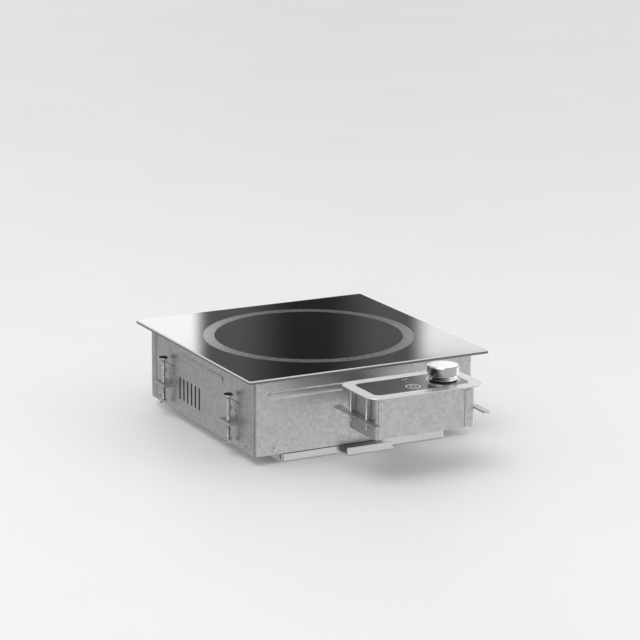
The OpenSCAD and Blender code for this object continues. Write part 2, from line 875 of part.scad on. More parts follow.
module knob_setscrew() {
    ro = knob_skirt_d / 2;
    color("#3b3d40") in_knob() translate([0, ro - 3, skirt_z + 3.4]) rotate([-90, 0, 0]) difference() {
        cylinder(h = 2.2, r = 1.5);
        translate([0, 0, 1.2]) cylinder(h = 2, r = 0.8, $fn = 6);
    }
}

module encoder_shaft() {
    color("#d8dadc") in_knob() translate([0, 0, shaft_bottom])
        cylinder(h = drum_z + knob_drum_h - 4.5 - shaft_bottom, r = shaft_r);
}

module encoder_body() {
    bushing_top = fascia_top + 2.6;
    color("#7c8086") in_knob() difference() {
        union() {
            translate([0, 0, cboard_top]) rounded_plate(14, 14, encoder_h, 1);
            translate([0, 0, cboard_top]) cylinder(h = bushing_top - cboard_top, r = bushing_r);
        }
        translate([0, 0, shaft_bottom - 0.3]) cylinder(h = 40, r = shaft_r + axle_fit);
    }
}

module encoder_nut() {
    color("#e0e2e4") in_knob() translate([0, 0, fascia_top]) hex_nut(13, 2.2, bushing_r);
}

// ---------- link between the housings ----------

module link_channel() {
    len = link_y1 - link_y0;
    color("#b9bcc0") difference() {
        translate([control_x, (link_y0 + link_y1) / 2, link_z]) {
            difference() {
                translate([-link_w / 2, -len / 2, 0]) cube([link_w, len, link_h]);
                translate([-link_w / 2 + link_t, -len / 2 - cut, link_t])
                    cube([link_w - 2 * link_t, len + 2 * cut, link_h]);
            }
            for (sx = sides, sy = sides)
                translate([sx * (link_w / 2 + 6) - 7, sy * (len / 2 - link_t / 2) - link_t / 2, 0])
                    cube([14, link_t, link_h]);
        }
        link_screw_places(link_y0, 1) cylinder(h = 6 * link_t, r = screw_r, center = true);
        link_screw_places(link_y1, -1) cylinder(h = 6 * link_t, r = screw_r, center = true);
    }
}

module control_lead() {
    reach = 14; // how far the lead goes into each housing
    color("#1d1d1f") translate([control_x, link_y0 - reach, wire_z]) rotate([-90, 0, 0])
        cylinder(h = link_y1 - link_y0 + 2 * reach, r = wire_r);
}

module grommet(wall) {
    rotate([90, 0, 0]) rotate_extrude() polygon([
        [wire_r, -3], [8, -3], [8, -wall / 2], [6, -wall / 2],
        [6, wall / 2], [8, wall / 2], [8, 3], [wire_r, 3]]);
}

module lead_grommets() {
    color("#222222") {
        translate([control_x, link_y1 + sheet_t / 2, wire_z]) grommet(sheet_t);
        translate([control_x, link_y0 - box_wall / 2, wire_z]) grommet(box_wall);
    }
}

glass_plate();
zone_marking();
worktop_seal();
glass_adhesive();
insulation_sheet();
coil_winding();
coil_carrier();
ferrite_bars();
carrier_springs();
temp_sensor();
sensor_spring();
coil_shield();
coil_leads();
housing_shell();
bottom_cover();
filter_rails();
filter_frame();
filter_mesh();
fan_frame_left();
fan_frame_right();
fan_impeller_left();
fan_impeller_right();
air_duct();
power_board();
board_standoffs();
power_modules();
heat_sink_left();
heat_sink_right();
bus_capacitors();
choke_core();
choke_winding();
terminal_block();
earth_stud();
mains_gland();
clamp_brackets();
clamp_screw_left_front();
clamp_screw_left_rear();
clamp_screw_right_front();
clamp_screw_right_rear();
housing_screws();
control_plate();
control_gasket();
panel_fascia();
key_marking();
display_module();
touch_sensor();
control_box();
control_board();
control_straps();
strap_nuts();
knob_collar();
knob_skirt();
knob_drum();
knob_setscrew();
encoder_shaft();
encoder_body();
encoder_nut();
link_channel();
control_lead();
lead_grommets();
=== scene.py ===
"""Looks of the built-in induction hob and its control unit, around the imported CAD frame."""
import json
import math

import bmesh
import bpy
from mathutils import Matrix, Quaternion, Vector


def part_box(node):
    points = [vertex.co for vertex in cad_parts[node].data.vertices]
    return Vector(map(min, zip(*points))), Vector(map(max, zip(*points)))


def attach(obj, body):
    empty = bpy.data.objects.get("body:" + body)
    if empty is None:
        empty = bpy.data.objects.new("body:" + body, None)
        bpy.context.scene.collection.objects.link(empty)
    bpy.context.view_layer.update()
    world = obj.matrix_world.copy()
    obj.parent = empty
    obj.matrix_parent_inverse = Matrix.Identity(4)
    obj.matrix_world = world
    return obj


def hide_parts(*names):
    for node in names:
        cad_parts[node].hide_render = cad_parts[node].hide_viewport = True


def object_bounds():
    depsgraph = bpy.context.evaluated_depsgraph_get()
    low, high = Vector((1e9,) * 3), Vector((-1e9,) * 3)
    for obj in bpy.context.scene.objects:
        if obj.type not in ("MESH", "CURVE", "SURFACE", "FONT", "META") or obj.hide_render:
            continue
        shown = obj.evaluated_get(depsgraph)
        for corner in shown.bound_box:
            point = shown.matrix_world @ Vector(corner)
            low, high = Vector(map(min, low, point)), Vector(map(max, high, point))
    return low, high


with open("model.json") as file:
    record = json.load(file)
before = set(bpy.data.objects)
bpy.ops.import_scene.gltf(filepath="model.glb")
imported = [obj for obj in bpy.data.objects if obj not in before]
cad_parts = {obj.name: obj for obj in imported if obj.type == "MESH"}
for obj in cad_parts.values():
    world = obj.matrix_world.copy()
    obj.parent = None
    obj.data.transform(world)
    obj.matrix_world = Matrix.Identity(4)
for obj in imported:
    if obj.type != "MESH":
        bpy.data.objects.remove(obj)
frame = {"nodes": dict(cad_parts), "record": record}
cad_low, cad_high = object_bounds()
nodes = frame["nodes"]

MM = 0.001
SHARP_ANGLE = math.radians(35)

# Camera: where it looks, from which side, and how far away
TARGET = Vector((0.0508, 0.0635, 0.0))
AZIMUTH = math.radians(-28.05)
ELEVATION = math.radians(14.28)
ROLL = math.radians(0.49)
DISTANCE = 3.367
LENS = 138.4

# Bright and dark panels that the glass mirrors towards the camera, in degrees: azimuth from and to
# (clockwise from +Y) and its soft edge, elevation from and to and its soft edge, then the brightness
PANELS = ((8, 25.2, 0.25, 3, 21, 1.5, 3.3),
          (30.4, 46, 0.5, 3, 15.25, 0.6, 2.9),
          (25.2, 30.4, 0.3, 6, 26, 3, 0.27),
          (26.7, 28.9, 0.8, 6, 26, 3, 0.05))
# Brightness all round, below the horizon and above it: degrees clockwise from +Y, and the level there
LOW_SWEEP = ((-180, 0.8), (-150, 0.75), (-110, 0.5), (-80, 0.3), (-50, 0.5), (-20, 0.6), (20, 0.7),
             (56, 0.9), (66, 1.8), (94, 1.8), (104, 0.9), (148, 0.85), (180, 0.8))
HIGH_SWEEP = ((-180, 0.3), (-158, 0.15), (-118, 0.03), (-98, 0.03), (-55, 0.04), (-35, 0.5), (20, 0.75),
              (60, 1.0), (95, 1.1), (128, 1.1), (146, 0.95), (165, 0.5), (180, 0.3))
ZENITH = 0.8
BACKDROP = 0.9
SOFT_LIGHT = 0.72
FLOOR_GAP = 0.0005

# Threads in mm: radius, depth and pitch
JACK_THREAD = (2.95, 0.55, 1.0)
STUD_THREAD = (2.22, 0.32, 0.7)
# Turned parts of a clamp jack screw in mm, as (radius, height): the collar and head stand on the
# underside of the head, and the cup and pad hang from the top of the pad
JACK_COLLAR = ((0, 4.4), (3.4, 4.4), (3.4, 5), (0, 5))
JACK_HEAD = ((0, 0), (4.6, 0), (5.5, 0.6), (5.5, 4.2), (4.7, 4.8), (0, 4.8))
JACK_CUP = ((0, -4), (4.2, -4), (4.9, -3.6), (5.1, -2.4), (6.3, -1.9), (6.5, -1.2),
            (6.1, -0.9), (0, -0.9))
JACK_PAD = ((0, -1.3), (5.7, -1.3), (5.9, -0.6), (5.6, 0), (5.0, 0), (4.7, -0.25),
            (3.6, -0.25), (3.3, 0), (2.2, 0), (1.9, -0.25), (0, -0.25))
# Half of a strap nut across its corners and across its flats, in mm
STRAP_NUT = (3.695, 3.2)
# Turned rings in mm: the gland's seal as (radius, way out of the wall), and the knob's skirt as
# (radius, height over its foot)
GLAND_SEAL = ((6.1, 8), (6.7, 7.6), (6.7, 17.2), (6.1, 16.8), (5.8, 15), (6.1, 13.4), (5.8, 11.6))
SKIRT = ((15.5, 0), (17.6, 0), (18.2, 0.15), (18.5, 0.5), (18.5, 1.1), (18.3, 1.5), (18.0, 2.4),
         (17.75, 3.4), (17.5, 4.4), (17.3, 5.4), (17.2, 6.3), (17.2, 6.9), (15.5, 6.9))
# Pressed sheet in mm: the edge of a bead and of a corner lap as (inset, rise), and a spot weld's profile
BEAD_EDGE = ((0, -0.3), (0, 0), (0.5, 0.35), (1.3, 0.8), (2.4, 1.05), (3.6, 1.15))
LAP_EDGE = ((0, -0.3), (0, 0.5), (0.25, 0.75))
SPOT_WELD = ((0, -0.2), (3.2, -0.2), (2.9, 0.12), (2.5, 0.22), (2.1, 0.16), (1.6, 0.02), (0, 0.0))


def make_camera():
    back = Vector((math.sin(AZIMUTH) * math.cos(ELEVATION),
                   -math.cos(AZIMUTH) * math.cos(ELEVATION), math.sin(ELEVATION)))
    data = bpy.data.cameras.new("camera")
    data.lens = LENS
    data.sensor_width = 36
    data.clip_end = 100
    camera = bpy.data.objects.new("camera", data)
    camera.location = TARGET + back * DISTANCE
    camera.rotation_mode = "QUATERNION"
    camera.rotation_quaternion = back.to_track_quat("Z", "Y") @ Quaternion((0, 0, 1), ROLL)
    bpy.context.scene.collection.objects.link(camera)
    bpy.context.scene.camera = camera


# ---------- node helpers ----------

class Nodes:
    """Short ways to add nodes to a node tree."""

    def __init__(self, tree):
        self.tree = tree

    def add(self, kind, **settings):
        node = self.tree.nodes.new(kind)
        for key, value in settings.items():
            setattr(node, key, value)
        return node

    def link(self, out, into):
        self.tree.links.new(out, into)

    def feed(self, value, socket):
        """Links an output to a socket, or sets a number or a colour on it."""
        if isinstance(value, bpy.types.NodeSocket):
            self.link(value, socket)
        elif isinstance(value, tuple):
            socket.default_value = (*value, 1)
        else:
            socket.default_value = value

    def math(self, operation, *values):
        node = self.add("ShaderNodeMath", operation=operation)
        for socket, value in zip(node.inputs, values):
            self.feed(value, socket)
        return node.outputs[0]

    def split(self, vector):
        node = self.add("ShaderNodeSeparateXYZ")
        self.link(vector, node.inputs[0])
        return node.outputs

    def noise(self, where, scale, detail=3.0, rough=0.5):
        node = self.add("ShaderNodeTexNoise")
        node.inputs["Scale"].default_value = scale
        node.inputs["Detail"].default_value = detail
        node.inputs["Roughness"].default_value = rough
        self.link(where, node.inputs["Vector"])
        return node.outputs["Fac"]

    def cells(self, where, scale, feature="F1"):
        node = self.add("ShaderNodeTexVoronoi", feature=feature)
        node.inputs["Scale"].default_value = scale
        self.link(where, node.inputs["Vector"])
        return node

    def span(self, value, low, high, to_low=0, to_high=1, smooth=False):
        node = self.add("ShaderNodeMapRange")
        if smooth:
            node.interpolation_type = "SMOOTHSTEP"
        node.inputs["From Min"].default_value = low
        node.inputs["From Max"].default_value = high
        node.inputs["To Min"].default_value = to_low
        node.inputs["To Max"].default_value = to_high
        self.link(value, node.inputs["Value"])
        return node.outputs["Result"]

    def spread(self, noise, to_low=0, to_high=1):
        """A noise, whose values keep to the middle, spread over a range."""
        return self.span(noise, 0.3, 0.7, to_low, to_high)

    def mix(self, factor, a, b):
        """A colour between two colours."""
        node = self.add("ShaderNodeMix", data_type="RGBA")
        self.link(factor, node.inputs[0])
        self.feed(a, node.inputs[6])
        self.feed(b, node.inputs[7])
        return node.outputs[2]

    def blend(self, factor, a, b):
        """A number between two numbers."""
        node = self.add("ShaderNodeMix", data_type="FLOAT")
        self.link(factor, node.inputs[0])
        self.feed(a, node.inputs[2])
        self.feed(b, node.inputs[3])
        return node.outputs[0]


class Shader(Nodes):
    """A new material with a Principled shader."""

    def __init__(self, name, colour, roughness, metallic=0.0):
        self.material = bpy.data.materials.new(name)
        self.material.use_nodes = True
        super().__init__(self.material.node_tree)
        self.main = self.tree.nodes["Principled BSDF"]
        self.set("Base Color", (*colour, 1))
        self.set("Roughness", roughness)
        self.set("Metallic", metallic)

    def set(self, socket, value):
        self.main.inputs[socket].default_value = value

    def place(self, stretch=(1, 1, 1), offset=(0, 0, 0)):
        """The point's own place in the frame, in metres, less offset and times stretch."""
        where = self.add("ShaderNodeTexCoord").outputs["Object"]
        shift = self.add("ShaderNodeVectorMath", operation="SUBTRACT")
        self.link(where, shift.inputs[0])
        shift.inputs[1].default_value = offset
        scale = self.add("ShaderNodeVectorMath", operation="MULTIPLY")
        self.link(shift.outputs[0], scale.inputs[0])
        scale.inputs[1].default_value = stretch
        return scale.outputs[0]

    def colour(self, out):
        self.link(out, self.main.inputs["Base Color"])

    def roughness(self, out):
        self.link(out, self.main.inputs["Roughness"])

    def bump(self, height, strength, distance):
        node = self.add("ShaderNodeBump")
        node.inputs["Strength"].default_value = strength
        node.inputs["Distance"].default_value = distance
        self.link(height, node.inputs["Height"])
        self.link(node.outputs[0], self.main.inputs["Normal"])

    def facing_up(self):
        """The z of the surface's own normal: 1 on a top face, 0 on a side."""
        return self.split(self.add("ShaderNodeNewGeometry").outputs["Normal"])["Z"]


def tint(colour, factor):
    return tuple(min(1.0, c * factor) for c in colour)


def grey(level):
    return (level, level, level)


# ---------- materials ----------

def black_glass():
    """Glossy black glass-ceramic with faint wiping marks. Its bevel is painted light grey as a painted
    highlight, and its upright side is painted grey as painted shade.
    """
    black = (0.006, 0.0065, 0.008)
    ground_roughness = 0.42
    s = Shader("black_glass", black, 0.03)
    s.set("IOR", 1.56)
    up = s.facing_up()
    top = s.span(up, 0.9, 0.99, smooth=True)
    bevel = s.span(up, 0.2, 0.4, smooth=True)
    wipe = s.noise(s.place((6, 22, 10)), 1.0, 5, 0.6)
    s.roughness(s.blend(top, ground_roughness, s.span(wipe, 0.35, 0.75, 0.018, 0.055)))
    ground = s.spread(s.noise(s.place(), 1800, 3, 0.6))
    # Painted highlight: the bevel, facing partly up, is coloured light grey to stand in for a glint on
    # the edge.
    bevel_painted_glint = s.mix(ground, (0.6, 0.61, 0.61), (0.74, 0.75, 0.75))
    # Painted shade: the upright side of the glass is coloured grey to stand in for the shade line under
    # the bright bevel.
    side_painted_shade = s.mix(ground, (0.13, 0.135, 0.135), (0.19, 0.195, 0.195))
    # The top stays black, and how far a face points up picks the painted highlight on the bevel or the
    # painted shade on the side.
    s.colour(s.mix(top, s.mix(bevel, side_painted_shade, bevel_painted_glint), black))
    return s.material


def zone_enamel():
    """Grey enamel printed as fine dots with darker gaps between them."""
    s = Shader("zone_enamel", (0.1, 0.104, 0.108), 0.24)
    s.set("IOR", 1.5)
    dots = s.cells(s.place((1, 1, 0.001)), 1900)
    ink = s.span(dots.outputs["Distance"], 0.3, 0.5, 1, 0, smooth=True)
    s.colour(s.mix(ink, (0.045, 0.047, 0.05), (0.125, 0.129, 0.133)))
    s.roughness(s.span(ink, 0, 1, 0.16, 0.3))
    s.bump(ink, 0.08, 0.01 * MM)
    return s.material


def brushed(name, colour, roughness, along):
    """Metal ground along one axis: long streaks in colour, roughness and relief."""
    s = Shader(name, colour, roughness, 1.0)
    stretch = [2200, 2200, 2200]
    stretch[along] = 18
    streak = s.noise(s.place(tuple(stretch)), 1.0, 4, 0.65)
    cloud = s.noise(s.place(), 14, 3, 0.5)
    both = s.math("ADD", s.math("MULTIPLY", streak, 0.7), s.math("MULTIPLY", cloud, 0.3))
    s.colour(s.mix(s.spread(both), tint(colour, 0.86), tint(colour, 1.08)))
    s.roughness(s.spread(both, roughness * 0.8, roughness * 1.25))
    s.bump(streak, 0.12, 0.02 * MM)
    return s.material


def galvanised():
    """Zinc-coated sheet: a faint spangle under a dull skin, with some handling marks."""
    s = Shader("galvanised", (0.62, 0.64, 0.66), 0.42, 1.0)
    spangle = s.cells(s.place(), 260)
    tone = s.add("ShaderNodeSeparateColor")
    s.link(spangle.outputs["Color"], tone.inputs[0])
    cloud = s.noise(s.place(), 30, 4, 0.6)
    crystal = s.math("MULTIPLY", tone.outputs[0], 0.75)
    mixed = s.math("ADD", crystal, s.math("MULTIPLY", cloud, 0.25))
    s.colour(s.mix(s.span(mixed, 0.1, 0.85), (0.5, 0.512, 0.525), (0.57, 0.582, 0.595)))
    s.roughness(s.span(mixed, 0.2, 0.75, 0.46, 0.36))
    scratch = s.noise(s.place((900, 40, 900)), 1.0, 2, 0.5)
    s.bump(scratch, 0.06, 0.03 * MM)
    return s.material


def turned(name, colour, roughness, centre, depth):
    """Metal turned on a lathe: rings on the end face, and fine hoops round the side."""
    lines_per_metre = 2600
    s = Shader(name, colour, roughness, 1.0)
    x, y, z = s.split(s.place(offset=centre))
    radius = s.math("SQRT", s.math("ADD", s.math("MULTIPLY", x, x), s.math("MULTIPLY", y, y)))
    around = s.math("ARCTAN2", y, x)
    join = s.add("ShaderNodeCombineXYZ")
    s.link(s.math("MULTIPLY", radius, lines_per_metre), join.inputs[0])
    s.link(s.math("MULTIPLY", z, lines_per_metre), join.inputs[1])
    s.link(s.math("MULTIPLY", around, 0.6), join.inputs[2])
    hoops = s.noise(join.outputs[0], 1.0, 4, 0.7)
    s.colour(s.mix(s.spread(hoops), tint(colour, 0.88), tint(colour, 1.06)))
    s.roughness(s.spread(hoops, roughness * 0.75, roughness * 1.3))
    s.bump(hoops, depth, 0.01 * MM)
    return s.material


def plated(name, colour, roughness):
    """Bright plated small parts with soft handling haze."""
    s = Shader(name, colour, roughness, 1.0)
    haze = s.noise(s.place(), 420, 3, 0.6)
    s.colour(s.mix(s.span(haze, 0.35, 0.7), tint(colour, 0.84), tint(colour, 1.05)))
    s.roughness(s.spread(haze, roughness * 0.75, roughness * 1.4))
    s.bump(haze, 0.05, 0.02 * MM)
    return s.material


def moulded(name, colour, roughness, grain=1500.0, depth=0.25):
    """Moulded plastic or rubber with a fine skin grain and slight tone drift."""
    s = Shader(name, colour, roughness)
    s.set("IOR", 1.46)
    skin = s.noise(s.place(), grain, 2, 0.6)
    drift = s.noise(s.place(), 35, 3, 0.5)
    s.colour(s.mix(s.spread(drift), tint(colour, 0.82), tint(colour, 1.16)))
    s.roughness(s.spread(skin, roughness * 0.85, min(1.0, roughness * 1.15)))
    s.bump(skin, depth, 0.04 * MM)
    return s.material


def fascia_gloss():
    """Smoked fascia foil: a soft gloss over dark grey, with a very fine texture."""
    s = Shader("fascia_gloss", (0.03, 0.032, 0.034), 0.1)
    s.set("IOR", 1.5)
    skin = s.noise(s.place(), 2600, 2, 0.5)
    cloud = s.noise(s.place(), 20, 3, 0.5)
    s.colour(s.mix(s.spread(cloud), (0.036, 0.038, 0.04), (0.05, 0.052, 0.055)))
    s.roughness(s.spread(cloud, 0.045, 0.085))
    s.bump(skin, 0.03, 0.01 * MM)
    return s.material


def circuit_board():
    """Green solder mask over tracks, with the tracks' slight relief."""
    s = Shader("circuit_board", (0.02, 0.16, 0.06), 0.35)
    brick = s.add("ShaderNodeTexBrick")
    s.link(s.place((1, 1, 0.001)), brick.inputs["Vector"])
    brick.inputs["Scale"].default_value = 90
    brick.inputs["Mortar Size"].default_value = 0.06
    brick.inputs["Color1"].default_value = (0.014, 0.12, 0.045, 1)
    brick.inputs["Color2"].default_value = (0.025, 0.2, 0.08, 1)
    brick.inputs["Mortar"].default_value = (0.05, 0.3, 0.13, 1)
    s.colour(brick.outputs["Color"])
    s.bump(brick.outputs["Fac"], 0.3, 0.05 * MM)
    return s.material


def litz():
    """Lacquered copper strands, twisted along the turns."""
    s = Shader("copper_litz", (0.62, 0.27, 0.1), 0.35, 0.9)
    strands = s.noise(s.place((900, 900, 300)), 1.0, 3, 0.6)
    s.colour(s.mix(s.span(strands, 0.35, 0.65), (0.35, 0.13, 0.05), (0.78, 0.38, 0.16)))
    s.bump(strands, 0.4, 0.2 * MM)
    return s.material


def fibre(name, colour):
    """Matt fibrous sheet."""
    s = Shader(name, colour, 0.9)
    strands = s.noise(s.place((400, 60, 400)), 1.0, 5, 0.7)
    s.colour(s.mix(s.spread(strands), tint(colour, 0.82), tint(colour, 1.08)))
    s.bump(strands, 0.3, 0.1 * MM)
    return s.material


def knitted_mesh():
    """Knitted metal filter pad: crossing wires, with the gaps between them painted near-black as painted
    shade.
    """
    s = Shader("knitted_mesh", (0.45, 0.46, 0.47), 0.4, 1.0)
    wires = s.cells(s.place(), 420, "DISTANCE_TO_EDGE")
    wire = s.span(wires.outputs["Distance"], 0.04, 0.16, 1, 0, smooth=True)
    # Painted shade: the gaps between the wires are coloured near-black to stand in for the shade inside
    # the pad.
    s.colour(s.mix(wire, (0.04, 0.04, 0.042), (0.6, 0.61, 0.62)))
    s.bump(wire, 0.8, 0.4 * MM)
    return s.material


def printed_white():
    """White screen print with slightly thin edges in the ink."""
    s = Shader("print_white", (0.82, 0.82, 0.8), 0.35)
    ink = s.noise(s.place(), 3200, 2, 0.6)
    s.colour(s.mix(s.span(ink, 0.3, 0.6), (0.66, 0.66, 0.65), (0.9, 0.9, 0.88)))
    s.roughness(s.spread(ink, 0.3, 0.5))
    return s.material


def display_dim():
    """Digit segments that hardly show through the smoked fascia."""
    s = Shader("display_dim", (0.06, 0.034, 0.034), 0.09)
    s.set("IOR", 1.5)
    glow = s.noise(s.place(), 900, 2, 0.5)
    s.colour(s.mix(s.spread(glow), (0.05, 0.033, 0.034), (0.075, 0.036, 0.036)))
    return s.material


def floor_material():
    s = Shader("studio_floor", grey(0.8), 0.6)
    cloud = s.noise(s.place(), 3, 4, 0.5)
    s.colour(s.mix(s.spread(cloud), grey(0.87), grey(0.89)))
    return s.material


def dress():
    """Makes the finishes, and gives every CAD node the one that the record's slot names."""
    knob_low, knob_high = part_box("knob_drum")
    knob_axis = (knob_low + knob_high) / 2
    knob_centre = (knob_axis.x, knob_axis.y, knob_low.z)
    along_x, along_y = 0, 1
    finishes = {
        "black_glass": black_glass(),
        "zone_enamel": zone_enamel(),
        "seal_foam": moulded("seal_foam", (0.03, 0.03, 0.03), 0.9, 2200, 0.5),
        "silicone": moulded("silicone", (0.05, 0.05, 0.052), 0.45, 300, 0.2),
        "mica_fibre": fibre("mica_fibre", (0.78, 0.74, 0.65)),
        "copper_litz": litz(),
        "carrier_plastic": moulded("carrier_plastic", (0.72, 0.68, 0.58), 0.55),
        "ferrite": moulded("ferrite", (0.05, 0.05, 0.055), 0.75, 900, 0.4),
        "spring_steel": plated("spring_steel", (0.62, 0.63, 0.65), 0.3),
        "sensor_ceramic": moulded("sensor_ceramic", (0.86, 0.85, 0.8), 0.6, 900, 0.3),
        "aluminium": brushed("aluminium", (0.78, 0.79, 0.8), 0.35, along_y),
        "lead_sleeve": fibre("lead_sleeve", (0.36, 0.09, 0.07)),
        "housing_steel": galvanised(),
        "filter_steel": brushed("filter_steel", (0.66, 0.665, 0.67), 0.3, along_x),
        "filter_mesh": knitted_mesh(),
        "fan_plastic": moulded("fan_plastic", (0.022, 0.022, 0.024), 0.5),
        "impeller_plastic": moulded("impeller_plastic", (0.035, 0.035, 0.038), 0.45),
        "duct_plastic": moulded("duct_plastic", (0.05, 0.052, 0.056), 0.5),
        "board_green": circuit_board(),
        "brass": plated("brass", (0.72, 0.5, 0.2), 0.28),
        "module_black": moulded("module_black", (0.02, 0.02, 0.022), 0.5),
        "capacitor_case": moulded("capacitor_case", (0.7, 0.64, 0.42), 0.4),
        "terminal_plastic": moulded("terminal_plastic", (0.78, 0.77, 0.7), 0.5),
        "gland_plastic": moulded("gland_plastic", (0.16, 0.165, 0.17), 0.45),
        "screw_steel": plated("screw_steel", (0.7, 0.71, 0.72), 0.25),
        "screw_dark": plated("screw_dark", (0.08, 0.08, 0.085), 0.35),
        "satin_steel": brushed("satin_steel", (0.66, 0.66, 0.655), 0.38, along_x),
        "fascia_gloss": fascia_gloss(),
        "print_white": printed_white(),
        "collar_ring": plated("collar_ring", (0.5, 0.5, 0.495), 0.08),
        "polished_steel": turned("polished_steel", (0.7, 0.7, 0.71), 0.04, knob_centre, depth=0.02),
        "knob_steel": turned("knob_steel", (0.5, 0.5, 0.495), 0.13, knob_centre, depth=0.15),
        "lead_sheath": moulded("lead_sheath", (0.02, 0.02, 0.021), 0.6),
        "rubber": moulded("rubber", (0.025, 0.025, 0.025), 0.75, 700, 0.3),
    }
    for part in frame["record"]["subparts"]:
        piece = nodes[part["node"]]
        for place in piece.material_slots:
            place.material = finishes[part["material_slot"]]
    return finishes


# ---------- mesh detail ----------

def new_piece(name, solids, finish, body):
    """A piece of closed solids, each a list of points and a list of faces, riding on a body."""
    mesh = bpy.data.meshes.new(name)
    shape = bmesh.new()
    for points, faces in solids:
        corners = [shape.verts.new(p) for p in points]
        for face in faces:
            shape.faces.new([corners[i] for i in face])
    bmesh.ops.recalc_face_normals(shape, faces=shape.faces)
    shape.to_mesh(mesh)
    shape.free()
    mesh.polygons.foreach_set("use_smooth", [True] * len(mesh.polygons))
    mesh.set_sharp_from_angle(angle=SHARP_ANGLE)
    mesh.materials.append(finish)
    obj = bpy.data.objects.new(name, mesh)
    bpy.context.scene.collection.objects.link(obj)
    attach(obj, body)
    return obj


def box_mm(node):
    """A CAD node's lowest and highest corners, in mm."""
    return [Vector(corner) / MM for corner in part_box(node)]


def upright(x, y, z):
    """A frame at a point in mm, square to the model."""
    return Matrix.Translation(Vector((x, y, z)) * MM)


def on_wall(x, y, z, facing):
    """A frame at a point in mm whose own z axis faces the given way, and whose y axis is up."""
    up = Vector((0, 0, 1))
    out = Vector(facing)
    turn = Matrix((up.cross(out), up, out)).transposed().to_4x4()
    return upright(x, y, z) @ turn


def on_circle(radius, share, height, place):
    """The point a share of the way round a circle, whose radius and height are in mm."""
    angle = 2 * math.pi * share
    return place @ (Vector((radius * math.cos(angle), radius * math.sin(angle), height)) * MM)


def skin(rings, closed=False):
    """Faces between neighbouring rings. A ring is (first point, count), and one point is a tip."""
    faces = []
    following = rings[1:] + rings[:1] if closed else rings[1:]
    for (a, count_a), (b, count_b) in zip(rings, following):
        count = max(count_a, count_b)
        for i in range(count):
            j = (i + 1) % count
            corners = [a + i % count_a, a + j % count_a, b + j % count_b, b + i % count_b]
            faces.append([c for k, c in enumerate(corners) if c not in corners[:k]])
    return faces


def revolve(profile, place, segments=32, closed=False):
    """A turned solid. Its profile is (radius, height) in mm, from axis to axis or else closed."""
    points, rings = [], []
    for radius, height in profile:
        count = segments if radius else 1
        rings.append((len(points), count))
        for i in range(count):
            points.append(on_circle(radius, i / segments, height, place))
    return points, skin(rings, closed)


def screw_shank(thread, low, high, place, segments=18, steps=4):
    """A solid shank in mm with a helical thread, its ends run out to the root."""
    radius, depth, pitch = thread
    points, rings = [place @ Vector((0, 0, low * MM))], [(0, 1)]
    count = int((high - low) / pitch * steps)
    for k in range(count + 1):
        height = low + (high - low) * k / count
        run_out = min(1, k / steps, (count - k) / steps)
        rings.append((len(points), segments))
        for i in range(segments):
            phase = (height / pitch - i / segments) % 1
            crest = run_out * abs(2 * phase - 1)
            points.append(on_circle(radius - depth + depth * crest, i / segments, height, place))
    rings.append((len(points), 1))
    points.append(place @ Vector((0, 0, high * MM)))
    return points, skin(rings)


def pressed_pad(width, height, corner, profile, place, arc=8):
    """A raised patch on a wall, in mm: a rounded rectangle whose edge follows (inset, rise)."""
    smallest_corner = 0.05
    points, rings = [], []
    for inset, rise in profile:
        w, h, r = width / 2 - inset, height / 2 - inset, max(corner - inset, smallest_corner)
        rings.append((len(points), 4 * (arc + 1)))
        for quarter in range(4):
            turn = Matrix.Rotation(quarter * math.pi / 2, 4, "Z")
            x, y = (w - r, h - r) if quarter % 2 == 0 else (h - r, w - r)
            for k in range(arc + 1):
                a = k * math.pi / 2 / arc
                spot = Vector((x + r * math.cos(a), y + r * math.sin(a), rise))
                points.append(place @ turn @ (spot * MM))
    (first, count), (last, _) = rings[0], rings[-1]
    caps = [list(range(first, first + count))[::-1], list(range(last, last + count))]
    return points, skin(rings) + caps


def gear_ring(teeth, inner, root, tip, low, high, slope, place):
    """A ring in mm with flat-topped grip ribs outside, which slope away at both ends."""
    steps = teeth * 4
    points, rings = [], []
    sections = ((inner, low, False), (root, low, False), (root, low + slope, True),
                (root, high - slope, True), (root, high, False), (inner, high, False))
    for radius, height, ribbed in sections:
        rings.append((len(points), steps))
        for i in range(steps):
            on_rib = ribbed and i % 4 in (1, 2)
            points.append(on_circle(tip if on_rib else radius, i / steps, height, place))
    return points, skin(rings, closed=True)


def jack_screws(finishes):
    """Clamp screws with a real thread, a chamfered hexagon head and a rubber-faced swivel foot."""
    thread_over_head, thread_under_top = 4.5, 3.6
    for end in ("left_front", "left_rear", "right_front", "right_rear"):
        node = "clamp_screw_" + end
        body = "clamp_" + end
        low, high = box_mm(node)
        x, y, _ = (low + high) / 2
        at_head = upright(x, y, low.z)
        at_top = upright(x, y, high.z)
        thread_low, thread_high = low.z + thread_over_head, high.z - thread_under_top
        shank = screw_shank(JACK_THREAD, thread_low, thread_high, upright(x, y, 0))
        collar = revolve(JACK_COLLAR, at_head, segments=24)
        hexagon = revolve(JACK_HEAD, at_head, segments=6)
        cup = revolve(JACK_CUP, at_top, segments=40)
        steel = finishes["screw_steel"]
        new_piece("jack_" + end, [shank, collar, hexagon, cup], steel, body)
        pad = revolve(JACK_PAD, at_top, segments=40)
        foot = new_piece("jack_pad_" + end, [pad], finishes["rubber"], body)
        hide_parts(node)


